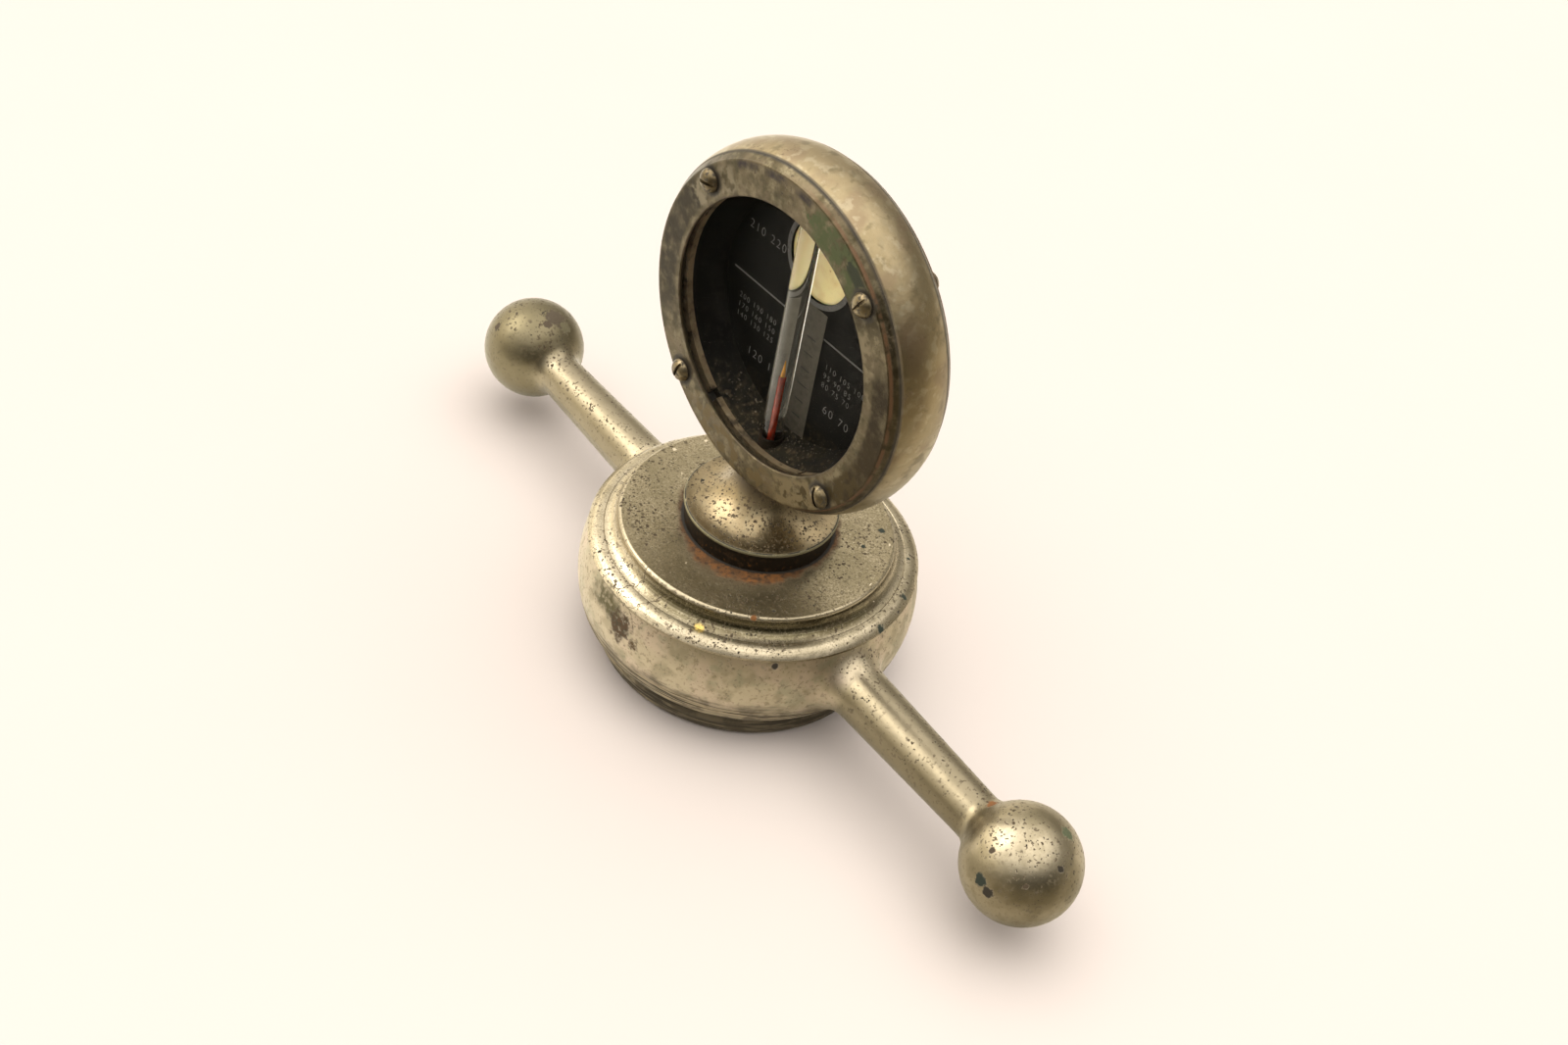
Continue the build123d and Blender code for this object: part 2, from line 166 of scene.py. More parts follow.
class Finish(Graph):
    """A surface built in layers: each one covers what lies under it where its mask is 1."""

    def __init__(self, name, colour, roughness, metallic=1.0, **fixed):
        self.material = bpy.data.materials.new(name)
        self.material.use_nodes = True
        super().__init__(self.material.node_tree)
        self.place = self.put("TexCoord").outputs["Object"]
        self.normal = self.put("NewGeometry").outputs["Normal"]
        self.shader = self.put("BsdfPrincipled")
        for key, value in fixed.items():
            self.feed(self.shader.inputs[key.replace("_", " ")], value)
        self.colour = colour
        self.roughness = roughness
        self.metallic = metallic
        self.height = None

    def noise(self, size, seed=0.0, detail=3.0, at=None):
        """Noise whose lumps are about size metres across."""
        node = self.put(
            "TexNoise",
            {"Vector": at or self.place, "W": seed, "Scale": 1 / size, "Detail": detail},
            noise_dimensions="4D",
        )
        return node.outputs[0]

    def lumps(self, size, low, high, seed=0.0, detail=3.0, at=None):
        """Noise pushed apart, so that it is 0 in some places and 1 in others."""
        return self.ramp(self.noise(size, seed, detail, at), low, high)

    def spots(self, size, share, radius=0.35, seed=0.0, where=1.0):
        """Ragged spots in a share of cells of that size; where makes them fewer and smaller."""
        ragged, sharp = 0.35, 3.15
        shift = self.put("TexNoise", {"Vector": self.place, "Scale": 2.2 / size, "Detail": 2.0})
        shake = self.vector("SUBTRACT", shift.outputs["Color"], (0.5, 0.5, 0.5))
        shake = self.vector("SCALE", shake)
        shake.node.inputs["Scale"].default_value = 2 * ragged * size
        moved = self.vector("ADD", self.place, shake)
        moved = self.vector("ADD", moved, (seed * 0.31, seed * 0.17, seed * 0.23))
        cells = self.put("TexVoronoi", {"Vector": moved, "Scale": 1 / size})
        chance = self.put("SeparateColor", {0: cells.outputs["Color"]})
        there = self.math("LESS_THAN", chance.outputs[1], share)
        reach = self.math("MULTIPLY_ADD", chance.outputs[0], 0.7 * radius, 0.3 * radius)
        reach = self.times(reach, there, where)
        inside = self.times(self.math("SUBTRACT", reach, cells.outputs["Distance"]), sharp / radius)
        return self.math("MINIMUM", self.math("MAXIMUM", inside, 0.0), 1.0)

    def patch(self, centre, radius, soft=0.4, ragged=0.5, grain=None, seed=0.0, stretch=(1, 1, 1)):
        """Ragged patch round a point: 1 inside it, 0 beyond radius."""
        away = self.vector("SUBTRACT", self.place, tuple(centre))
        away = self.vector("LENGTH", self.vector("DIVIDE", away, tuple(stretch)))
        uneven = self.math("SUBTRACT", self.noise(grain or radius * 0.5, seed, 4.0), 0.5)
        away = self.math("MULTIPLY_ADD", uneven, 2 * ragged * radius, away)
        return self.ramp(away, radius, radius * (1 - soft))

    def polar(self, case=False):
        """Radius, place along the axis and angle, about the cap's axis or the case's."""
        if case:
            at = self.vector("SUBTRACT", self.place, (0, 0, CASE_Z))
            straight = {"Vector": at, "Angle": -GAUGE_TURN}
            turned = self.put("VectorRotate", straight, rotation_type="Z_AXIS")
            x, along, y = self.put("SeparateXYZ", {0: turned.outputs[0]}).outputs
        else:
            x, y, along = self.put("SeparateXYZ", {0: self.place}).outputs
        radius = self.math("SQRT", self.math("ADD", self.times(x, x), self.times(y, y)))
        return radius, along, self.math("ARCTAN2", y, x)

    def turning(self, radius, along, angle, step, seed=0.0):
        """Fine grooves left by the lathe, each running on round the piece."""
        slow = self.math("MULTIPLY", angle, 0.6 * step)
        grooves = self.put("CombineXYZ", {0: radius, 1: along, 2: slow})
        return self.noise(step, seed, 3.0, grooves.outputs[0])

    def cover(self, mask, colour=None, roughness=None, metallic=None, height=None):
        if colour is not None:
            self.colour = self.mix(self.colour, colour, mask)
        if roughness is not None:
            self.roughness = self.mix(self.roughness, roughness, mask)
        if metallic is not None:
            self.metallic = self.mix(self.metallic, metallic, mask)
        if height is not None:
            self.raise_by(self.times(mask, height))

    def raise_by(self, height):
        """Adds to the bump's height, in millimetres."""
        self.height = height if self.height is None else self.math("ADD", self.height, height)

    def done(self):
        self.feed(self.shader.inputs["Base Color"], self.colour)
        self.feed(self.shader.inputs["Roughness"], self.roughness)
        self.feed(self.shader.inputs["Metallic"], self.metallic)
        if self.height is not None:
            bump = self.put("Bump", {"Height": self.height, "Distance": MM, "Strength": 1.0})
            self.feed(self.shader.inputs["Normal"], bump.outputs[0])
        self.put("OutputMaterial", {0: self.shader.outputs[0]})
        return self.material


# ---- colours ----
# plate, pits, stains and rust
BRIGHT = (0.54, 0.47, 0.35)
PLATE = (0.385, 0.333, 0.24)
DULL = (0.235, 0.2, 0.13)
OLIVE = (0.092, 0.078, 0.038)
PIT = (0.022, 0.016, 0.008)
BROWN_PIT = (0.06, 0.04, 0.02)
SALT = (0.62, 0.53, 0.38)
RUST = (0.088, 0.036, 0.007)
RUST_BRIGHT = (0.17, 0.064, 0.011)
DARK_RUST = (0.035, 0.017, 0.004)
TARNISH = (0.06, 0.042, 0.022)
PURPLE = (0.028, 0.022, 0.024)
VERDIGRIS = (0.06, 0.072, 0.032)
DARK_GREEN = (0.014, 0.022, 0.013)
CRUST = (0.34, 0.28, 0.17)
SOOT = (0.016, 0.013, 0.009)
BRASS = (0.62, 0.45, 0.14)
# the cap's surfaces
WALL_BEIGE = (0.45, 0.385, 0.282)
WALL_PINK = (0.50, 0.41, 0.32)
WALL_BROWN = (0.30, 0.262, 0.18)
WALL_GREEN = (0.33, 0.315, 0.225)
WALL_DIRT = (0.21, 0.175, 0.11)
WALL_FILM = (0.10, 0.085, 0.038)
EATEN = (0.045, 0.033, 0.013)
EATEN_RUST = (0.07, 0.038, 0.014)
EATEN_EDGE = (0.09, 0.055, 0.022)
TOP_GREY = (0.245, 0.203, 0.125)
TOP_STAIN = (0.17, 0.143, 0.085)
DARK_GRIT = (0.105, 0.085, 0.05)
PALE_GRIT = (0.46, 0.4, 0.29)
ARM_GREY = (0.22, 0.187, 0.127)
FAR_BALL_SHADE = (0.135, 0.115, 0.068)
RUST_HALO = (0.11, 0.078, 0.04)
FOOT_SHADE = (0.04, 0.03, 0.016)
# pedestal
PEDESTAL = (0.25, 0.196, 0.118)
PEDESTAL_DARK = (0.18, 0.14, 0.08)
PEDESTAL_LIGHT = (0.30, 0.235, 0.135)
LIP_GREY = (0.20, 0.18, 0.11)
# case ring
CASE = (0.29, 0.235, 0.145)
CASE_DARK = (0.23, 0.183, 0.105)
CASE_YELLOW = (0.27, 0.21, 0.12)
CASE_PINK = (0.22, 0.165, 0.105)
CASE_BRIGHT = (0.36, 0.31, 0.215)
CASE_STAIN = (0.15, 0.122, 0.07)
CASE_WARM = (0.24, 0.17, 0.105)
CASE_LOW_SHADE = (0.14, 0.108, 0.052)
# bezels and screws
BEZEL = (0.085, 0.069, 0.042)
BEZEL_DARK = (0.039, 0.031, 0.017)
BEZEL_LIGHT = (0.11, 0.086, 0.056)
BEZEL_STAIN = (0.042, 0.037, 0.02)
APERTURE_EDGE = (0.06, 0.046, 0.026)
SHOULDER_RUST = (0.10, 0.05, 0.02)
SCREW = (0.19, 0.15, 0.09)
SCREW_DARK = (0.10, 0.076, 0.043)
# bare metals
ZINC = (0.50, 0.50, 0.48)
ZINC_DARK = (0.36, 0.36, 0.35)
AGED_BRASS = (0.56, 0.40, 0.16)
AGED_BRASS_DARK = (0.36, 0.25, 0.10)
BRASS_STAIN = (0.16, 0.10, 0.045)
BRONZE = (0.24, 0.18, 0.105)
BRONZE_DARK = (0.15, 0.11, 0.062)
BRONZE_STAIN = (0.035, 0.027, 0.018)
BRONZE_FLECK = (0.24, 0.19, 0.12)
# rubber, enamel and dirt
RUBBER = (0.010, 0.006, 0.0025)
RUBBER_BROWN = (0.03, 0.016, 0.006)
ENAMEL = (0.0028, 0.0028, 0.0024)
DUST_FILM = (0.02, 0.017, 0.011)
DUST = (0.055, 0.042, 0.025)
DUST_FLECK = (0.09, 0.072, 0.045)
GRAIN = (0.06, 0.046, 0.028)
GRAIN_PALE = (0.16, 0.13, 0.085)
GRAIN_DARK = (0.04, 0.03, 0.02)
# inks
GREY_INK = (0.085, 0.085, 0.08)
STRIP_INK = (0.055, 0.048, 0.034)
PALE_INK = (0.10, 0.10, 0.095)
DARK_INK = (0.008, 0.008, 0.007)
INK_SPOT = (0.02, 0.018, 0.014)
# celluloid, glass and spirit
CELLULOID = (0.80, 0.73, 0.36)
CELLULOID_AGED = (0.72, 0.60, 0.27)
CELLULOID_SPOT = (0.5, 0.38, 0.17)
PANE = (0.55, 0.53, 0.47)
TUBE = (0.95, 0.96, 0.94)
RED_SPIRIT = (0.36, 0.03, 0.01)
AMBER_SPIRIT = (0.75, 0.33, 0.04)
# floor: the paper, and the painted light that shining surfaces see in it: at the right, brighter at the
# left, darker in front
PAPER_DARK = (0.54, 0.49, 0.473)
PAPER_LIGHT = (0.555, 0.503, 0.487)
SEEN_RIGHT = (0.60, 0.56, 0.48)
SEEN_LEFT = (0.95, 0.92, 0.85)
SEEN_FRONT = (0.22, 0.195, 0.145)


def on_cap(radius, degrees, height):
    """A point on the cap, by its place round the Z axis; sizes in millimetres."""
    return (radius * cos(radians(degrees)) * MM, radius * sin(radians(degrees)) * MM, height * MM)


def on_case(radius, degrees, depth):
    """A point on the gauge, by its place round the case's axis; depth runs along Y."""
    x = radius * cos(radians(degrees))
    z = radius * sin(radians(degrees))
    return gauge_point(x, depth, z)


def gauge_point(x, depth, z):
    """A point given in the gauge's own frame, in millimetres."""
    c, s = cos(GAUGE_TURN), sin(GAUGE_TURN)
    return ((x * c - depth * s) * MM, (x * s + depth * c) * MM, z * MM + CASE_Z)


def on_ball(side, x, y, z):
    """A point on one of the balls; x, y, z is its direction from the ball's centre."""
    length = sqrt(x * x + y * y + z * z)
    return (side * BALL_X + x / length * BALL_R, y / length * BALL_R, ARM_Z + z / length * BALL_R)


# ---- metal finishes ----
def worn_nickel(name, light, dark, roughness, seed=0.0):
    """What every plated piece starts from: clouded plate, fine grain and slow waves."""
    f = Finish(name, light, roughness)
    f.cover(f.lumps(9 * MM, 0.42, 0.66, seed, 4.0), dark, roughness + 0.05)
    f.cover(f.times(f.lumps(2.2 * MM, 0.45, 0.68, seed + 3, 5.0), 0.45), DULL, roughness + 0.08)
    f.cover(f.times(f.lumps(0.5 * MM, 0.5, 0.72, seed + 5, 2.0), 0.35), dark, roughness + 0.1)
    f.raise_by(f.times(f.noise(5 * MM, seed + 7, 2.0), 0.16))
    f.raise_by(f.times(f.noise(0.7 * MM, seed + 8, 3.0), 0.018))
    return f


def pitted(f, where, share=0.45, seed=0.0, size=1.25 * MM):
    """Small dark pits, brown and black, thicker where that mask is 1."""
    grain = f.times(f.lumps(0.75 * MM, 0.585, 0.63, seed + 40, 3.0), where, 0.85)
    f.cover(grain, BROWN_PIT, 0.7, 0.4, -0.02)
    f.cover(f.spots(size, share, 0.42, seed, where), BROWN_PIT, 0.75, 0.35, -0.03)
    f.cover(f.spots(size * 0.55, share * 0.9, 0.42, seed + 1, where), PIT, 0.8, 0.2, -0.03)
    f.cover(f.spots(size * 2.4, share * 0.25, 0.24, seed + 2, where), PIT, 0.85, 0.1, -0.06)


def cap_nickel():
    """The cap's worn plate, surface by surface, told apart by height and radius."""
    f = worn_nickel("worn_nickel_cap", PLATE, DULL, 0.30)
    radius, height, angle = f.polar()
    _, _, up = f.put("SeparateXYZ", {0: f.normal}).outputs
    top = f.ramp(height, CAP_TOP - 0.4 * MM, CAP_TOP)
    in_body = f.ramp(radius, 44 * MM, 41.5 * MM)
    crusted = f.math("MULTIPLY_ADD", f.noise(6 * MM, 54.0), 12 * MM, height)
    crusted = f.times(f.ramp(crusted, 24 * MM, 18 * MM), in_body)
    cap_wall(f, radius, height)
    cap_turned_faces(f, radius, height, angle, in_body, top)

    # pits lie thick on what faces up
    thick = f.times(f.ramp(up, -0.2, 0.95), f.lumps(8 * MM, 0.32, 0.58, 31.0, 4.0))
    clean = f.patch(on_cap(29.5, -75, 37.2), 14 * MM, 0.5, 0.25, 6 * MM, 4.0)
    clean = f.math("SUBTRACT", 1.0, f.times(clean, top, 0.85))
    pitted(f, f.times(f.math("MULTIPLY_ADD", thick, 0.75, 0.3), clean), 0.5, 1.0)
    f.cover(f.spots(4.2 * MM, 0.35, 0.13, 6.0, f.ramp(height, 28 * MM, 36 * MM)), SALT, 0.7, 0.0, 0.05)

    cap_rust(f, radius, top)
    cap_foot(f, height, angle, in_body, crusted)
    cap_marks(f)
    scratches(f, in_body)
    return f.done()


def cap_wall(f, radius, height):
    """The cap's wall: matt and mottled pink, grey-green and beige."""
    wall = f.times(f.ramp(height, 30.3 * MM, 29.6 * MM), f.ramp(radius, 46 * MM, 42 * MM))
    f.cover(f.times(wall, 0.85), WALL_BEIGE, 0.4)
    f.cover(f.times(wall, f.lumps(7 * MM, 0.45, 0.62, 11.0), 0.8), WALL_PINK, 0.46)
    f.cover(f.times(wall, f.lumps(5 * MM, 0.5, 0.64, 12.0, 5.0), 0.7), WALL_BROWN, 0.5)
    f.cover(f.times(wall, f.lumps(3 * MM, 0.52, 0.66, 13.0, 5.0), 0.6), WALL_GREEN, 0.5)
    f.cover(f.times(wall, f.lumps(1.6 * MM, 0.56, 0.68, 14.0, 5.0), 0.6), WALL_DIRT, 0.5)


def cap_turned_faces(f, radius, height, angle, in_body, top):
    """Lathe marks, an olive film in the cove that is also painted shade on its front, a bright turned
    flange, a painted highlight on the top plate's rim, a gritty top, duller arms, and a far ball
    painted darker as shade.
    """
    flange = f.times(f.band(height, FLANGE_LOW, FLANGE_HIGH, 0.15 * MM), in_body)
    cove = f.times(f.band(height, COVE_LOW, COVE_HIGH, 0.3 * MM), in_body)
    marks = f.turning(radius, height, angle, 0.35 * MM)
    f.raise_by(f.times(marks, in_body, f.ramp(height, 29.8 * MM, 30.4 * MM), 0.012))
    f.cover(f.times(cove, 0.6), BRIGHT, 0.24)
    # the olive film lies on the cove's front: partly real tarnish, partly painted shade darkening that
    # side
    front_film_and_shade = f.ramp(f.math("COSINE", f.math("SUBTRACT", angle, radians(-32))), 0.35, 0.8)
    lined = f.math("MULTIPLY_ADD", f.ramp(marks, 0.35, 0.65), 0.35, 0.65)
    f.cover(f.times(cove, front_film_and_shade, lined), OLIVE, 0.25)
    f.cover(f.times(cove, front_film_and_shade, f.lumps(6 * MM, 0.5, 0.6, 15.0), 0.4), TARNISH, 0.4)
    f.cover(f.times(flange, f.ramp(marks, 0.25, 0.6), 0.55), BRIGHT, 0.25)
    f.cover(f.times(top, 0.8), TOP_GREY, 0.36)
    grit = f.math("MAXIMUM", top, f.times(in_body, f.ramp(height, 30 * MM, 31 * MM), 0.6))
    f.cover(f.times(grit, f.lumps(0.42 * MM, 0.5, 0.6, 22.0, 2.0), 0.55), DARK_GRIT, 0.5)
    f.cover(f.times(grit, f.lumps(0.5 * MM, 0.57, 0.65, 23.0, 2.0), 0.5), PALE_GRIT, 0.4)
    f.cover(f.times(top, f.lumps(11 * MM, 0.42, 0.62, 21.0, 5.0), 0.5), TOP_STAIN, 0.42)
    # painted shade: the far ball is made darker than the near one
    far_ball_shade = f.ramp(f.put("SeparateXYZ", {0: f.place}).outputs[0], -84 * MM, -90 * MM)
    f.cover(f.times(far_ball_shade, 0.85), FAR_BALL_SHADE, 0.38)
    arm = f.band(radius, 46 * MM, 86 * MM, 3 * MM)
    f.cover(f.times(arm, 0.85), ARM_GREY, 0.33)
    # painted highlight: a bright band along the top plate's rim
    rim_highlight = f.band(radius, 32.1 * MM, 33.2 * MM, 0.1 * MM)
    f.cover(f.times(rim_highlight, f.ramp(height, 36.2 * MM, 36.5 * MM), 0.45), BRIGHT, 0.27)


def cap_rust(f, radius, top):
    """Rust that has crept out from under the seat, furthest at the front."""
    spread = f.math("MULTIPLY_ADD", f.noise(4 * MM, 2.0, 5.0), 5.0 * MM, radius)
    front = f.patch(on_cap(19, -52, 37.2), 20 * MM, 0.7, 0.2, 8 * MM, 9.0)
    edge = f.math("MULTIPLY_ADD", front, 2.4 * MM, 21.0 * MM)
    beyond = f.math("SUBTRACT", spread, edge)
    f.cover(f.times(f.ramp(beyond, 6.0 * MM, 0.0), top, front, 0.75), RUST_HALO, 0.55, 0.5)
    rusty = f.times(f.ramp(beyond, 1.6 * MM, -0.6 * MM), top)
    f.cover(rusty, RUST, 0.78, 0.0, 0.02)
    fresh = f.times(rusty, front, f.lumps(1.6 * MM, 0.42, 0.6, 41.0, 5.0))
    f.cover(fresh, RUST_BRIGHT, 0.85, 0.0, 0.02)
    f.cover(f.times(rusty, f.lumps(1.1 * MM, 0.5, 0.62, 42.0, 4.0), 0.8), DARK_RUST, 0.85, 0.0)
    f.cover(f.times(f.ramp(radius, 18.6 * MM, 18.0 * MM), top), SOOT, 0.8, 0.0)


def cap_foot(f, height, angle, in_body, crusted):
    """The crusted foot: streaks that run round it, and a dark ring at the bottom that is painted shade,
    deepest on the right.
    """
    streaks = f.put("CombineXYZ", {0: f.times(angle, 2.2 * MM), 1: height, 2: 0.0}).outputs[0]
    f.cover(f.times(crusted, 0.85), DULL, 0.55, 0.6)
    f.cover(f.times(crusted, f.lumps(0.9 * MM, 0.44, 0.54, 51.0, 5.0, streaks)), CRUST, 0.75, 0.0, 0.06)
    dark = f.times(crusted, f.lumps(0.7 * MM, 0.48, 0.56, 52.0, 5.0, streaks), 0.9)
    f.cover(dark, PIT, 0.85, 0.0, -0.05)
    f.cover(f.times(crusted, f.lumps(5 * MM, 0.45, 0.6, 53.0), 0.7), TARNISH, 0.7, 0.2)
    # painted shade: the foot's lowest band is darkened, most on the right side
    right = f.ramp(f.math("COSINE", f.math("SUBTRACT", angle, radians(-5))), 0.1, 0.7)
    right = f.math("MULTIPLY_ADD", right, 0.6, 0.15)
    f.cover(f.times(f.ramp(height, 9 * MM, 6.5 * MM), in_body, right), FOOT_SHADE, 0.7, 0.3)


def cap_marks(f):
    """Single marks: an eaten patch on the wall, a brass spot, green pits, marks on the balls."""
    ragged = f.math("MULTIPLY_ADD", f.lumps(1.3 * MM, 0.36, 0.52, 5.0, 5.0), 0.55, 0.45)
    film = f.patch(on_cap(40, -92, 27.0), 8.5 * MM, 0.8, 0.8, 3.0 * MM, 1.0, (1.0, 1.0, 0.55))
    f.cover(f.times(film, ragged), WALL_FILM, 0.6, 0.5)
    eaten = f.patch(on_cap(40, -84, 24.6), 4.8 * MM, 0.6, 1.0, 1.5 * MM, 2.0, (0.8, 0.8, 1.1))
    f.cover(f.times(eaten, ragged), EATEN, 0.75, 0.1, -0.04)
    f.cover(f.times(eaten, f.lumps(0.8 * MM, 0.42, 0.52, 6.0)), EATEN_RUST, 0.8, 0.0)
    f.cover(f.patch(on_cap(40, -77, 22.6), 2.0 * MM, 0.7, 0.9, 0.8 * MM, 3.0), EATEN_EDGE, 0.7, 0.2)
    f.cover(f.patch(on_cap(39.6, -29, 29.2), 1.0 * MM, 0.3, 0.3, 1.0 * MM, 4.0), PIT, 0.8, 0.0, -0.08)
    f.cover(f.patch(on_cap(35.6, -57, 32.4), 1.7 * MM, 0.7, 0.6, 0.8 * MM, 5.0), BRASS, 0.3, 1.0)
    speck = f.patch(on_cap(32.5, -38, 36.8), 0.9 * MM, 0.4, 0.5, 0.6 * MM, 6.0)
    f.cover(speck, RUST_BRIGHT, 0.8, 0.0, 0.05)
    for k, (r, degrees, z, size) in enumerate(GREEN_PITS):
        pit = f.patch(on_cap(r, degrees, z), size * MM, 0.35, 0.7, 0.9 * MM, 70 + k)
        f.cover(pit, DARK_GREEN, 0.75, 0.0, -0.08)
    for k, (side, x, y, z, size, colour) in enumerate(BALL_MARKS):
        mark = f.patch(on_ball(side, x, y, z), size * MM, 0.3, 0.8, 1.0 * MM, 80 + k)
        f.cover(mark, colour, 0.75, 0.0, -0.05)


# radius, angle round the cap in degrees, height and size; lengths in millimetres
GREEN_PITS = (
    (33.8, 70, 34.0, 1.3),
    (29.5, 56, 37.2, 0.9),
    (37.6, 30, 31.6, 1.2),
    (38.8, 12, 31.2, 1.3),
    (25.3, 42, 37.2, 0.7),
    (36.5, 50, 32.3, 0.7),
)
# side, direction from the ball's centre, size in millimetres, colour
BALL_MARKS = (
    (1, 0.02, -0.97, 0.22, 1.6, DARK_GREEN),
    (1, 0.21, -0.96, 0.14, 1.5, PIT),
    (1, 0.32, 0.42, 0.85, 1.9, VERDIGRIS),
    (1, 0.72, -0.05, 0.69, 1.0, PIT),
    (1, -0.12, -0.74, 0.66, 0.8, BROWN_PIT),
    (1, 0.60, -0.62, 0.50, 0.7, BROWN_PIT),
    (1, -0.88, 0.02, 0.46, 1.5, RUST_BRIGHT),
    (-1, 0.36, 0.22, 0.90, 3.2, TARNISH),
    (-1, 0.55, 0.32, 0.77, 2.0, OLIVE),
    (-1, 0.45, -0.04, 0.89, 1.3, BROWN_PIT),
    (-1, -0.22, -0.77, 0.60, 1.3, BROWN_PIT),
    (-1, 0.0, 0.82, 0.57, 2.4, VERDIGRIS),
)


def scratches(f, where):
    """Hairline cracks in the plate: the edges of stretched, shaken cells near one place."""
    shift = f.put("TexNoise", {"Vector": f.place, "Scale": 260.0, "Detail": 3.0}).outputs["Color"]
    shift = f.put("VectorMath", {0: shift, "Scale": 3.5 * MM}, operation="SCALE").outputs[0]
    shaken = {"Vector": f.vector("ADD", f.place, shift), "Scale": 105.0}
    cells = f.put("TexVoronoi", shaken, feature="DISTANCE_TO_EDGE")
    line = f.ramp(cells.outputs["Distance"], 0.014, 0.004)
    near = f.patch(on_cap(35.5, -84, 32.5), 10 * MM, 0.5, 0.5, 5 * MM, 61.0)
    f.cover(f.times(line, near, where, 0.8), BROWN_PIT, 0.6, 0.4, -0.02)


def foot_nickel():
    """The pedestal: brighter plate, thick with pits, painted shade at the neck under the case, dark
    under its lip.
    """
    f = worn_nickel("worn_nickel_pedestal", PEDESTAL, PEDESTAL_DARK, 0.27, 100.0)
    radius, height, angle = f.polar()
    f.raise_by(f.times(f.turning(radius, height, angle, 0.4 * MM, 3.0), 0.01))
    f.cover(f.times(f.lumps(4 * MM, 0.45, 0.65, 101.0, 5.0), 0.5), PEDESTAL_LIGHT, 0.34)
    pitted(f, f.lumps(6 * MM, 0.25, 0.55, 102.0, 4.0), 0.62, 3.0, 1.2 * MM)
    # painted shade: the cone darkens towards the neck, under the case
    f.cover(f.ramp(radius, 8.5 * MM, 6.0 * MM), TARNISH, 0.6, 0.4)
    lip = f.ramp(height, 43.05 * MM, 42.85 * MM)
    f.cover(lip, LIP_GREY, 0.45, 0.7)
    f.cover(f.ramp(height, 42.35 * MM, 42.1 * MM), SOOT, 0.7, 0.0)
    crack = f.band(height, 42.85 * MM, 42.98 * MM, 0.05 * MM)
    f.cover(f.times(crack, f.lumps(3 * MM, 0.4, 0.5, 103.0)), SOOT, 0.8, 0.0)
    return f.done()


def case_nickel():
    """The crowned case ring: satin, yellowed, with soft stains, painted shade low on the right, and few
    marks.
    """
    f = worn_nickel("worn_nickel_case", CASE, CASE_DARK, 0.31, 200.0)
    radius, depth, angle = f.polar(case=True)
    f.raise_by(f.times(f.turning(radius, depth, angle, 0.5 * MM, 5.0), 0.008))
    f.cover(f.times(f.lumps(13 * MM, 0.45, 0.62, 201.0, 4.0), 0.6), CASE_YELLOW, 0.36)
    f.cover(f.times(f.lumps(7 * MM, 0.5, 0.66, 202.0, 5.0), 0.75), CASE_PINK, 0.4)
    f.cover(f.times(f.lumps(2.4 * MM, 0.52, 0.64, 207.0, 5.0), 0.55), CASE_BRIGHT, 0.36)
    f.cover(f.times(f.lumps(3 * MM, 0.55, 0.68, 203.0, 5.0), 0.7), CASE_STAIN, 0.45)
    pitted(f, f.lumps(10 * MM, 0.5, 0.75, 204.0), 0.16, 7.0, 1.5 * MM)
    for side in (-1, 1):
        away = f.math("ABSOLUTE", f.math("SUBTRACT", depth, side * CASE_SEAM_Y))
        seam = f.ramp(away, 0.55 * MM, 0.1 * MM)
        f.cover(f.times(seam, f.math("MULTIPLY_ADD", f.noise(6 * MM, 205.0), 0.7, 0.35)), PIT, 0.7, 0.1)
    high = f.patch(on_case(41.2, 30, -3.0), 9 * MM, 0.8, 0.6, 4 * MM, 206.0, (1, 0.5, 1))
    f.cover(f.times(high, 0.5), CASE_WARM, 0.42)
    # painted shade: a darker patch low on the ring's right side
    low = f.patch(on_case(41.2, -38, -2.0), 16 * MM, 0.8, 0.5, 5 * MM, 208.0)
    f.cover(f.times(low, 0.6), CASE_LOW_SHADE, 0.36)
    f.cover(f.ramp(radius, 36.5 * MM, 35.5 * MM), SOOT, 0.7, 0.0)
    return f.done()


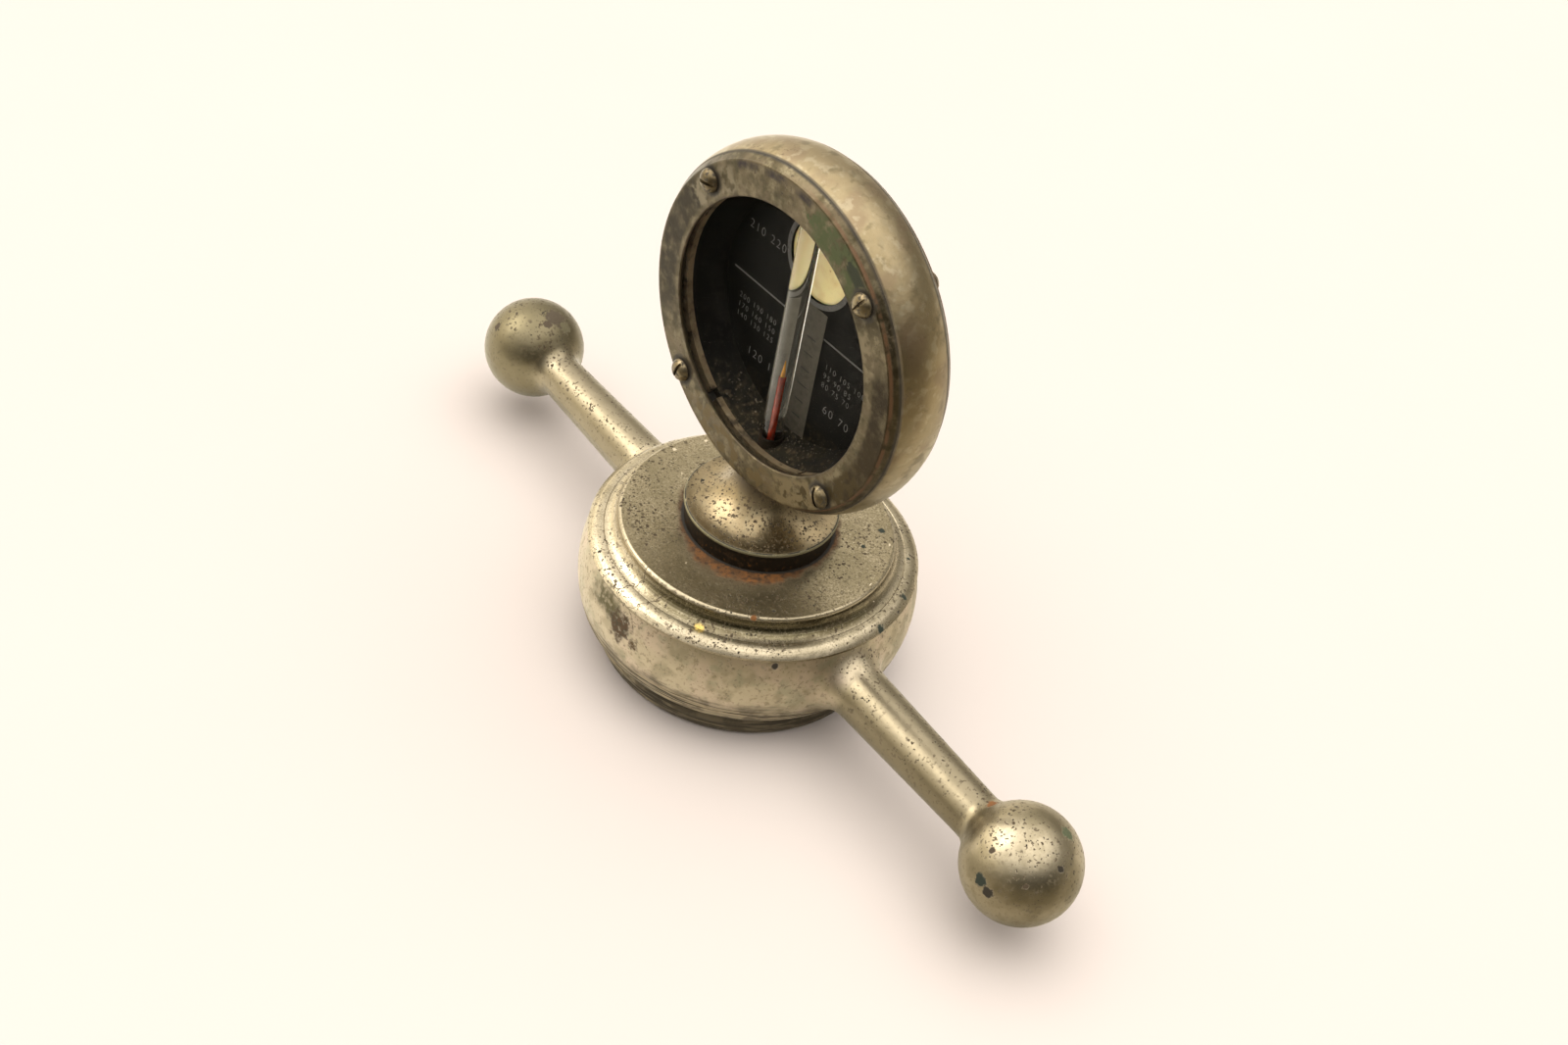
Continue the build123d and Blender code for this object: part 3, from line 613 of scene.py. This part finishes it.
def bezel_nickel():
    """Bezels: stained green, purple and brown in long patches, the dark brown ones at the sides partly
    painted shade; dirt round screws and edges.
    """
    f = worn_nickel("worn_nickel_bezel", BEZEL, BEZEL_DARK, 0.34, 300.0)
    radius, depth, angle = f.polar(case=True)
    f.raise_by(f.times(f.turning(radius, depth, angle, 0.4 * MM, 9.0), 0.008))
    f.cover(f.times(f.lumps(5 * MM, 0.48, 0.62, 301.0, 5.0), 0.6), BEZEL_LIGHT, 0.4)
    f.cover(f.times(f.lumps(3 * MM, 0.52, 0.68, 302.0, 5.0), 0.6), BEZEL_STAIN, 0.46)
    pitted(f, f.lumps(6 * MM, 0.4, 0.7, 303.0), 0.3, 11.0, 1.3 * MM)
    for degrees, reach, colour, first, last, soft in BEZEL_STAINS_AND_SHADE:
        place = f.math("COSINE", f.math("SUBTRACT", angle, radians(degrees)))
        along = f.ramp(place, cos(radians(reach)), cos(radians(reach * 0.55)))
        across = f.band(radius, first * MM, last * MM, 0.6 * MM)
        uneven = f.lumps(2.6 * MM, 0.5 - soft, 0.5 + soft * 0.4, 310.0 + degrees, 5.0)
        f.cover(f.times(along, across, uneven), colour, 0.48, 0.9)
    for k in range(4):
        for first_seed, face in ((330.0, -FACE_DEPTH), (334.0, FACE_DEPTH)):
            screw = on_case(SCREW_CIRCLE, 45 + 90 * k, face)
            dirt = f.patch(screw, 4.1 * MM, 0.35, 0.25, 2 * MM, first_seed + k, (1, 2, 1))
            f.cover(dirt, PIT, 0.7, 0.1)
    edge = f.ramp(radius, 31.3 * MM, 30.7 * MM)
    f.cover(f.times(edge, f.lumps(2 * MM, 0.4, 0.6, 340.0, 4.0), 0.7), BROWN_PIT, 0.6, 0.3)
    f.cover(f.times(f.ramp(radius, 30.62 * MM, 30.52 * MM), 0.7), APERTURE_EDGE, 0.45, 0.7)
    seam = f.ramp(radius, 39.2 * MM, 39.6 * MM)
    f.cover(f.times(seam, f.math("MULTIPLY_ADD", f.noise(6 * MM, 341.0), 0.8, 0.4)), PIT, 0.7, 0.1)
    shoulder = f.band(radius, 38.25 * MM, 38.7 * MM, 0.15 * MM)
    right = f.ramp(f.math("COSINE", angle), -0.1, 0.6)
    f.cover(f.times(shoulder, right, f.lumps(4 * MM, 0.35, 0.5, 342.0)), SHOULDER_RUST, 0.5, 0.4)
    return f.done()


# a patch's middle and half length in degrees round the bezel, its colour, inner and outer
# radius in millimetres, and raggedness; most are stains, the dark ones at the sides also paint shade
BEZEL_STAINS_AND_SHADE = (
    (63, 17, VERDIGRIS, 31.0, 38.0, 0.14),
    (52, 12, (0.028, 0.032, 0.02), 34.5, 37.6, 0.05),
    (76, 9, VERDIGRIS, 33.0, 37.0, 0.05),
    (113, 6, PURPLE, 36.4, 38.0, 0.2),
    (99, 6, PURPLE, 36.3, 37.8, 0.2),
    (85, 5, PURPLE, 36.2, 37.8, 0.25),
    # the dark entries at 2, -18 and -45 degrees (right) and 172 (left) are partly stains, partly
    # painted shade on the bezel's sides
    (2, 24, (0.026, 0.018, 0.009), 33.2, 38.3, 0.3),
    (-18, 24, (0.032, 0.022, 0.01), 33.6, 38.2, 0.3),
    (-45, 30, (0.05, 0.036, 0.015), 33.0, 38.3, 0.05),
    (172, 38, (0.03, 0.024, 0.015), 31.8, 37.8, 0.28),
    (28, 10, (0.17, 0.14, 0.09), 31.2, 34.0, 0.1),
    (135, 16, (0.17, 0.145, 0.10), 31.5, 37.0, 0.08),
    (-60, 16, (0.15, 0.12, 0.07), 31.5, 37.8, 0.06),
    (-165, 12, (0.05, 0.036, 0.022), 35.5, 37.6, 0.0),
    (-100, 30, (0.10, 0.074, 0.036), 31.0, 38.0, 0.02),
)


def screw_steel():
    f = worn_nickel("tarnished_screw_heads", SCREW, SCREW_DARK, 0.3, 400.0)
    radius, depth, angle = f.polar(case=True)
    away = f.math("ABSOLUTE", depth)
    f.cover(f.ramp(away, 9.2 * MM, 8.7 * MM), PIT, 0.75, 0.2)
    f.cover(f.times(f.lumps(0.8 * MM, 0.5, 0.66, 401.0), 0.8), PIT, 0.7, 0.2)
    return f.done()


def zinc_steel():
    f = worn_nickel("dull_zinc_plate", ZINC, ZINC_DARK, 0.42, 500.0)
    f.cover(f.lumps(3 * MM, 0.55, 0.7, 501.0, 5.0), SALT, 0.8, 0.0, 0.03)
    f.cover(f.lumps(4 * MM, 0.6, 0.72, 502.0, 5.0), RUST, 0.8, 0.0)
    return f.done()


def bare_brass():
    f = worn_nickel("aged_brass", AGED_BRASS, AGED_BRASS_DARK, 0.34, 600.0)
    f.cover(f.times(f.lumps(3 * MM, 0.5, 0.68, 601.0, 5.0), 0.8), BRASS_STAIN, 0.55)
    f.cover(f.lumps(2 * MM, 0.6, 0.72, 602.0, 5.0), VERDIGRIS, 0.8, 0.0, 0.03)
    return f.done()


def brown_bronze():
    f = worn_nickel("brown_spring_bronze", BRONZE, BRONZE_DARK, 0.45, 700.0)
    f.metallic = 0.4
    f.cover(f.times(f.lumps(2.4 * MM, 0.5, 0.65, 701.0, 5.0), 0.8), BRONZE_STAIN, 0.6, 0.4)
    f.cover(f.spots(1.8 * MM, 0.3, 0.25, 21.0), BRONZE_FLECK, 0.7, 0.0)
    return f.done()


# ---- dark and clear finishes ----
def black_rubber():
    f = Finish("hardened_rubber", RUBBER, 0.62, 0.0, Specular_IOR_Level=0.2)
    f.cover(f.lumps(2 * MM, 0.5, 0.68, 801.0, 5.0), RUBBER_BROWN, 0.75)
    low = f.ramp(f.polar()[1], 41.0 * MM, 38.0 * MM)
    f.cover(f.times(f.lumps(1 * MM, 0.56, 0.7, 802.0, 5.0), low), RUST, 0.85)
    f.raise_by(f.times(f.noise(0.8 * MM, 803.0, 4.0), 0.08))
    return f.done()


def dusty_black(name, dust_share):
    """Matt black enamel; dust gathers low in the case and in small flecks."""
    f = Finish(name, ENAMEL, 0.5, 0.0, Specular_IOR_Level=0.06)
    radius, depth, angle = f.polar(case=True)
    low = f.ramp(f.times(radius, f.math("SINE", angle)), -19 * MM, -30.5 * MM)
    film = f.math("MULTIPLY_ADD", low, 0.95, dust_share)
    f.cover(f.times(film, f.lumps(4 * MM, 0.3, 0.62, 811.0, 5.0)), DUST_FILM, 0.85)
    f.cover(f.times(film, f.lumps(1.4 * MM, 0.5, 0.68, 812.0, 5.0)), DUST, 0.9)
    flecks = f.spots(2.6 * MM, 0.25, 0.1, 23.0, f.math("MULTIPLY_ADD", low, 1.2, 0.2))
    f.cover(flecks, DUST_FLECK, 0.9)
    f.raise_by(f.times(f.noise(0.6 * MM, 813.0, 3.0), 0.03))
    return f.done()


def dial_print(name, colour, rub):
    """Printing ink, rubbed thin in places."""
    f = Finish(name, colour, 0.6, 0.0)
    faded = tuple(c * 0.35 for c in colour)
    f.cover(f.times(f.lumps(1.2 * MM, 0.45, 0.66, 821.0, 5.0), rub), faded, 0.7)
    f.cover(f.spots(0.9 * MM, 0.3, 0.3, 25.0), INK_SPOT, 0.7)
    return f.done()


def window_celluloid():
    glow = {"Subsurface_Weight": 0.25, "Subsurface_Scale": MM}
    f = Finish("aged_celluloid", CELLULOID, 0.3, 0.0, **glow)
    f.cover(f.lumps(4 * MM, 0.45, 0.7, 831.0, 4.0), CELLULOID_AGED, 0.4)
    f.cover(f.spots(2.2 * MM, 0.2, 0.14, 27.0), CELLULOID_SPOT, 0.6)
    return f.done()


def clear_glass():
    """Thin clear panes: nearly all see-through, with a trace of dust."""
    f = Finish("clear_pane", PANE, 0.12, 0.0)
    smear = f.times(f.lumps(7 * MM, 0.5, 0.8, 841.0, 5.0), 0.006)
    f.feed(f.shader.inputs["Alpha"], f.math("ADD", smear, 0.001))
    return f.done()


def tube_glass():
    f = Finish("drawn_glass", TUBE, 0.0, 0.0, Transmission_Weight=1.0, IOR=1.47)
    f.cover(f.times(f.lumps(5 * MM, 0.6, 0.8, 851.0, 5.0), 0.5), roughness=0.03)
    return f.done()


def spirit(name, colour):
    f = Finish(name, colour, 0.12, 0.0)
    deeper = tuple(c * 0.5 for c in colour)
    f.cover(f.lumps(3 * MM, 0.4, 0.7, 861.0), deeper, 0.2)
    return f.done()


# ---- meshes ----
def piece(name, vertices, faces, material, smooth=True):
    mesh = bpy.data.meshes.new(name)
    mesh.from_pydata(vertices, [], faces)
    mesh.validate()
    mesh.update()
    if smooth:
        mesh.shade_smooth()
    mesh.materials.append(material)
    thing = bpy.data.objects.new(name, mesh)
    bpy.context.scene.collection.objects.link(thing)
    return thing


def loops_between(rows, segments, closed=True):
    """Faces between rows of vertices; a closed shape joins its last row to its first."""
    faces = []
    for row in range(rows if closed else rows - 1):
        a = row * segments
        b = ((row + 1) % rows) * segments
        for k in range(segments):
            n = (k + 1) % segments
            faces.append((a + k, a + n, b + n, b + k))
    return faces


def threaded(name, crest, depth, plain, z0, z1, pitch, material):
    """Ring with a real helical thread on one wall and a plain wall on the other."""
    segments, rows_per_pitch = 160, 10
    flank_slope, crest_flat = 2.6, 0.15
    steps = int((z1 - z0) / pitch * rows_per_pitch)
    heights = [z0 + (z1 - z0) * k / steps for k in range(steps + 1)]
    rows = []
    for z in heights:
        lead = min(1.0, (z - z0) / pitch, (z1 - z) / pitch)
        row = []
        for k in range(segments):
            turn = 2 * pi * k / segments
            phase = (z / pitch - turn / (2 * pi)) % 1.0
            groove = min(1.0, max(0.0, flank_slope * abs(phase - 0.5) - crest_flat))
            cut = groove * depth * lead + depth * (1 - lead)
            radius = crest + cut if plain > crest else crest - cut
            row.append((radius * cos(turn), radius * sin(turn), z))
        rows.append(row)
    for z in (z1, z0):
        turns = [2 * pi * k / segments for k in range(segments)]
        rows.append([(plain * cos(turn), plain * sin(turn), z) for turn in turns])
    vertices = [v for row in rows for v in row]
    faces = loops_between(len(rows), segments)
    if plain > crest:
        faces = [tuple(reversed(face)) for face in faces]
    return piece(name, vertices, faces, material)


def rod(name, outline, centre_y, material, segments=48):
    """Upright solid turned about its own axis, from (radius, height) points; closed at both ends."""
    vertices = []
    for radius, z in outline:
        for k in range(segments):
            turn = 2 * pi * k / segments
            vertices.append((radius * cos(turn), centre_y + radius * sin(turn), z))
    faces = loops_between(len(outline), segments, closed=False)
    bottom = len(vertices)
    vertices.append((0, centre_y, outline[0][1]))
    vertices.append((0, centre_y, outline[-1][1]))
    last = (len(outline) - 1) * segments
    for k in range(segments):
        n = (k + 1) % segments
        faces.append((n, k, bottom))
        faces.append((last + k, last + n, bottom + 1))
    thing = piece(name, vertices, faces, material)
    thing.data.transform(Matrix.Rotation(GAUGE_TURN, 4, "Z"))
    return thing


def thermometer_glass(material):
    """The glass as one clear rod with domed ends; the spirit lies inside it."""
    outline = []
    dome_steps, steps, tip_r = 8, 30, 0.05 * MM
    for k in range(dome_steps + 1):
        turn = pi / 2 * k / dome_steps
        outline.append((max(TUBE_R * sin(turn), tip_r), TUBE_Z0 + TUBE_R * (1 - cos(turn))))
    low, high = TUBE_Z0 + TUBE_R, TUBE_Z1 - TUBE_R
    outline += [(TUBE_R, low + (high - low) * k / steps) for k in range(1, steps)]
    outline += [(r, TUBE_Z0 + TUBE_Z1 - z) for r, z in reversed(outline[:dome_steps + 1])]
    return rod("thermometer_glass", outline, TUBE_Y, material)


def spirit_film(material):
    """Thin film of spirit that clings above the column's top."""
    top = COLUMN_TOP_Z + 4.4 * MM
    foot_r, taper, steps = 0.34 * MM, 0.85, 12
    outline = []
    for k in range(steps + 1):
        share = k / steps
        z = COLUMN_TOP_Z + (top - COLUMN_TOP_Z) * share
        outline.append((foot_r * (1 - taper * share), z))
    return rod("spirit_film", outline, TUBE_Y, material, 20)


# ---- the dial's printing, as thin raised ink ----
# how thick the ink is, a digit's height in its font's size, and how much thinner its strokes are
INK = 0.04 * MM
DIGIT_SHARE = 0.7
THINNER = 0.018


def to_gauge():
    """From the dial's own plane (x right, y up, z out of the dial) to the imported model's frame."""
    stand = Matrix.Rotation(pi / 2, 4, "X")
    place = Matrix.Translation((0, DIAL_Y, CASE_Z)) @ stand
    return Matrix.Rotation(GAUGE_TURN, 4, "Z") @ place


def slab(outline):
    """Vertices and faces of a thin slab of ink with that outline of (x, y) points."""
    n = len(outline)
    vertices = [(x, y, 0.0) for x, y in outline] + [(x, y, INK) for x, y in outline]
    faces = [tuple(range(n - 1, -1, -1)), tuple(range(n, 2 * n))]
    faces += [(k, (k + 1) % n, n + (k + 1) % n, n + k) for k in range(n)]
    return vertices, faces


def rectangle(x0, x1, y0, y1):
    return slab([(x0 * MM, y0 * MM), (x1 * MM, y0 * MM), (x1 * MM, y1 * MM), (x0 * MM, y1 * MM)])


def printed_ring(cy, inner, outer, segments=96):
    vertices, faces = [], []
    for radius, lift in ((inner, 0.0), (outer, 0.0), (outer, INK), (inner, INK)):
        for k in range(segments):
            turn = 2 * pi * k / segments
            vertices.append((radius * cos(turn), cy + radius * sin(turn), lift))
    return vertices, loops_between(4, segments)


def joined(name, parts, material):
    """One piece from several lots of vertices and faces on the dial."""
    vertices, faces = [], []
    for some, others in parts:
        start = len(vertices)
        vertices += some
        faces += [tuple(start + k for k in face) for face in others]
    thing = piece(name, vertices, faces, material, smooth=False)
    thing.data.transform(to_gauge())
    return thing


def numerals(name, rows, material):
    """Numbers on the dial, each (text, x, y, height) in millimetres, as one mesh."""
    bpy.context.view_layer.update()
    parts = []
    for text, x, y, height in rows:
        curve = bpy.data.curves.new(name + "_curve", "FONT")
        curve.body = text
        curve.size = height / DIGIT_SHARE * MM
        curve.extrude = INK / 2
        curve.space_character = 1.3
        curve.offset = -THINNER * height * MM
        maker = bpy.data.objects.new(name + "_curve", curve)
        bpy.context.scene.collection.objects.link(maker)
        shown = maker.evaluated_get(bpy.context.evaluated_depsgraph_get())
        mesh = bpy.data.meshes.new_from_object(shown)
        vertices = [(v.co.x + x * MM, v.co.y + y * MM, v.co.z + INK / 2) for v in mesh.vertices]
        parts.append((vertices, [tuple(p.vertices) for p in mesh.polygons]))
        bpy.data.objects.remove(maker)
        bpy.data.meshes.remove(mesh)
        bpy.data.curves.remove(curve)
    return joined(name, parts, material)


def printing():
    """Rule, strip, scale ticks, ring round the window, and numbers where the real dial has words."""
    grey = dial_print("grey_ink", GREY_INK, 0.4)
    strip = dial_print("strip_ink", STRIP_INK, 0.4)
    pale = dial_print("pale_ink", PALE_INK, 0.4)
    dark = dial_print("dark_ink", DARK_INK, 0.2)
    rule = [rectangle(-25.5, -5.6, -0.22, 0.22), rectangle(5.6, 25.5, -0.22, 0.22)]
    ring = [printed_ring(WINDOW_UP, WINDOW_R + 0.1 * MM, WINDOW_R + 1.3 * MM)]
    pieces = [
        joined("dial_rule", rule, grey),
        joined("window_border", ring, grey),
        joined("scale_strip", [rectangle(-5.4, 5.4, -28.0, 5.7)], strip),
        numerals("dial_numbers", DIAL_NUMBERS, pale),
        numerals("dial_small_numbers", SMALL_NUMBERS, grey),
    ]
    marks = [rectangle(0.6, 3.4, y - TICK_HALF, y + TICK_HALF) for y in TICK_HEIGHTS]
    ticks = joined("scale_ticks", marks, dark)
    ticks.data.transform(Matrix.Translation((0, -1.2 * INK, 0)))
    return pieces + [ticks]


# heights of the strip's ticks on the dial and half a tick's thickness, in millimetres
TICK_HEIGHTS = (-23.2, -19.0, -14.8, -10.6, -6.4, -2.2)
TICK_HALF = 0.13
# text, left end, foot and height on the dial, in millimetres
DIAL_NUMBERS = (
    ("210 220", -23.0, 11.8, 2.1),
    ("120 130", -17.0, -18.4, 2.1),
    ("60 70", 9.5, -17.0, 2.1),
)
SMALL_NUMBERS = tuple(
    (text, x, y - 2.4 * row, 1.4)
    for x, y, lines in (
        (-22.5, -6.4, ("200 190 180", "170 160 150", "140 130 125")),
        (7.6, -6.4, ("110 105 100", "95 90 85", "80 75 70")),
    )
    for row, text in enumerate(lines)
)


BOX_FACES = ((0, 1, 3, 2), (4, 6, 7, 5), (0, 4, 5, 1), (2, 3, 7, 6), (0, 2, 6, 4), (1, 5, 7, 3))


def debris(material):
    """Grains of dirt that have gathered at the bottom of the case."""
    seed, grains = 7, 150
    draw = random.Random(seed)
    vertices, faces = [], []
    for _ in range(grains):
        depth = SURROUND_Y + (DIAL_Y - SURROUND_Y) * draw.random() ** 0.8
        share = (depth - SURROUND_Y) / (DIAL_Y - SURROUND_Y)
        wall = SURROUND_R + (DIAL_SIGHT_R - SURROUND_R) * share
        angle = radians(-90 + draw.gauss(0, 16))
        size = (0.10 + 0.22 * draw.random() ** 2) * MM
        centre = Vector((wall * cos(angle), depth, wall * sin(angle)))
        centre -= centre.normalized() * size * 0.5
        turn = Quaternion([draw.gauss(0, 1) for _ in range(4)]).normalized()
        start = len(vertices)
        for x in (-1, 1):
            for y in (-1, 1):
                for z in (-1, 1):
                    corner = Vector((x, y * 0.7, z * 0.5)) * size * (0.6 + 0.5 * draw.random())
                    vertices.append(tuple(centre + turn @ corner))
        for a, b, c, d in BOX_FACES:
            faces.append((start + a, start + b, start + c, start + d))
    thing = piece("case_debris", vertices, faces, material, smooth=False)
    thing.data.transform(Matrix.Rotation(GAUGE_TURN, 4, "Z") @ Matrix.Translation((0, 0, CASE_Z)))
    return thing


def debris_finish():
    f = Finish("dirt_grains", GRAIN, 0.9, 0.0)
    f.cover(f.lumps(0.8 * MM, 0.52, 0.66, 871.0), GRAIN_PALE, 0.9)
    f.cover(f.lumps(1.5 * MM, 0.55, 0.62, 872.0), GRAIN_DARK, 0.9)
    return f.done()


# ---- studio ----
def camera():
    data = bpy.data.cameras.new("camera")
    data.lens = CAMERA_LENS
    data.sensor_width = SENSOR_WIDTH
    data.clip_start = 0.01
    data.clip_end = 20.0
    back = Vector((
        sin(CAMERA_AZIMUTH) * cos(CAMERA_ELEVATION),
        -cos(CAMERA_AZIMUTH) * cos(CAMERA_ELEVATION),
        sin(CAMERA_ELEVATION),
    ))
    thing = bpy.data.objects.new("camera", data)
    bpy.context.scene.collection.objects.link(thing)
    thing.rotation_mode = "QUATERNION"
    level = (-back).to_track_quat("-Z", "Y")
    thing.rotation_quaternion = level @ Quaternion((0, 0, 1), CAMERA_ROLL)
    thing.location = CAMERA_AIM + back * CAMERA_DISTANCE
    bpy.context.scene.camera = thing


TOWARDS_VIEWER = (sin(CAMERA_AZIMUTH), -cos(CAMERA_AZIMUTH), 0.0)
TOWARDS_LEFT = (-cos(CAMERA_AZIMUTH), -sin(CAMERA_AZIMUTH), 0.0)


def sky():
    """Soft studio light: strongest overhead, open and dim on one side; plain and pale behind."""
    world = bpy.data.worlds.new("studio")
    bpy.context.scene.world = world
    world.use_nodes = True
    g = Graph(world.node_tree)
    way = g.put("TexCoord").outputs["Generated"]
    up = g.put("SeparateXYZ", {0: way}).outputs[2]
    side = g.vector("DOT_PRODUCT", way, TOWARDS_VIEWER)
    left = g.vector("DOT_PRODUCT", way, TOWARDS_LEFT)
    around = g.mix(0.45, 1.8, g.ramp(left, -0.7, 0.8))
    low = g.mix(around, 0.11, g.ramp(side, -0.1, 0.75))
    overhead = g.mix(low, 2.8, g.ramp(up, 0.44, 0.97))
    beside = g.times(g.ramp(left, 0.1, 0.8), g.band(up, 0.2, 0.8, 0.2))
    shining = g.math("ADD", overhead, beside)
    # matt surfaces are lit mostly from straight above, so that the shadows stay near the object
    matt = g.mix(0.55, 4.4, g.ramp(up, 0.5, 1.0))
    path = g.put("LightPath").outputs
    strength = g.times(g.mix(shining, matt, path["Is Diffuse Ray"]), SKY)
    warm = g.mix(LOW_COLOUR, LIGHT_COLOUR, g.ramp(up, 0.1, 0.75))
    tint = g.mix(warm, LIGHT_COLOUR, path["Is Diffuse Ray"])
    light = g.put("Background", {"Color": tint, "Strength": strength}).outputs[0]
    plain = g.put("Background", {"Color": BACKGROUND, "Strength": 1.0}).outputs[0]
    both = g.put("MixShader", {0: path["Is Camera Ray"], 1: light, 2: plain})
    g.put("OutputWorld", {0: both.outputs[0]})


def floor():
    """Large pale floor, clear from below; what shines sees it dimmer on the studio's open side."""
    half = FLOOR_SIZE / 2
    corners = [(-half, -half, 0), (half, -half, 0), (half, half, 0), (-half, half, 0)]
    material = bpy.data.materials.new("pale_floor")
    material.use_nodes = True
    g = Graph(material.node_tree)
    place = g.put("TexCoord").outputs["Object"]
    side = g.vector("DOT_PRODUCT", place, TOWARDS_VIEWER)
    cloud = g.put("TexNoise", {"Vector": place, "Scale": 9.0, "Detail": 4.0}).outputs[0]
    pale = g.mix(PAPER_DARK, PAPER_LIGHT, cloud)
    left = g.vector("DOT_PRODUCT", place, TOWARDS_LEFT)
    # painted light: reflections see the floor brighter at the left and darker in front
    around = g.mix(SEEN_RIGHT, SEEN_LEFT, g.ramp(left, -0.08, 0.10))
    dim = g.mix(around, SEEN_FRONT, g.ramp(side, 0.02, 0.15))
    glossy = g.put("LightPath").outputs["Is Glossy Ray"]
    paper = g.put("BsdfDiffuse", {"Color": g.mix(pale, dim, glossy)}).outputs[0]
    clear = g.put("BsdfTransparent").outputs[0]
    below = g.put("NewGeometry").outputs["Backfacing"]
    one_sided = g.put("MixShader", {0: below, 1: paper, 2: clear})
    g.put("OutputMaterial", {0: one_sided.outputs[0]})
    ground = piece("floor", corners, [(0, 1, 2, 3)], material, smooth=False)


def soft_box(name, way, distance, size, power):
    """Square soft light that faces the object."""
    data = bpy.data.lights.new(name, "AREA")
    data.shape = "SQUARE"
    data.size = size
    data.energy = power
    data.color = LIGHT_COLOUR
    thing = bpy.data.objects.new(name, data)
    bpy.context.scene.collection.objects.link(thing)
    direction = Vector(way).normalized()
    thing.rotation_mode = "QUATERNION"
    thing.rotation_quaternion = direction.to_track_quat("Z", "Y")
    thing.location = Vector((0, 0, 0.05)) + direction * distance
    return thing


# ---- put together ----
def dress(finishes):
    """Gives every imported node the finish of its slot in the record."""
    slots = {part["node"]: part["material_slot"] for part in frame["record"]["subparts"]}
    for name, thing in frame["nodes"].items():
        thing.data.materials.clear()
        thing.data.materials.append(finishes[slots[name]])


def main():
    scene = bpy.context.scene
    scene.view_settings.view_transform = "Standard"
    camera()
    sky()
    floor()
    key = soft_box("key", (-0.58, -0.42, 0.70), 1.3, 0.75, 7.0)
    key.visible_diffuse = False
    finishes = {
        "cap_nickel": cap_nickel(),
        "foot_nickel": foot_nickel(),
        "case_nickel": case_nickel(),
        "bezel_nickel": bezel_nickel(),
        "screw_steel": screw_steel(),
        "zinc_steel": zinc_steel(),
        "bare_brass": bare_brass(),
        "brown_bronze": brown_bronze(),
        "black_rubber": black_rubber(),
        "black_enamel": dusty_black("dusty_enamel", 0.06),
        "dial_print": dusty_black("dial_black", 0.03),
        "window_celluloid": window_celluloid(),
        "clear_glass": clear_glass(),
        "tube_glass": tube_glass(),
        "red_spirit": spirit("red_spirit", RED_SPIRIT),
    }
    dress(finishes)

    neck = threaded(
        "neck_thread", THREAD_CREST_R, THREAD_DEPTH, THREAD_OUTER_R,
        THREAD_Z0, THREAD_Z1, THREAD_PITCH, finishes["bare_brass"],
    )
    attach(neck, "cap")
    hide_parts("thread_ring")

    stud = threaded(
        "threaded_stud", STUD_R, STUD_DEPTH, STUD_BORE_R,
        STUD_Z0, STUD_Z1, STUD_PITCH, finishes["bare_brass"],
    )
    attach(stud, "gauge")
    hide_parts("mounting_stud")

    glass = thermometer_glass(finishes["tube_glass"])
    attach(glass, "gauge")
    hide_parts("thermometer_tube")

    film = spirit_film(spirit("amber_film", AMBER_SPIRIT))
    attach(film, "column")

    for print_piece in printing():
        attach(print_piece, "gauge")

    dirt = debris(debris_finish())
    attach(dirt, "gauge")


main()
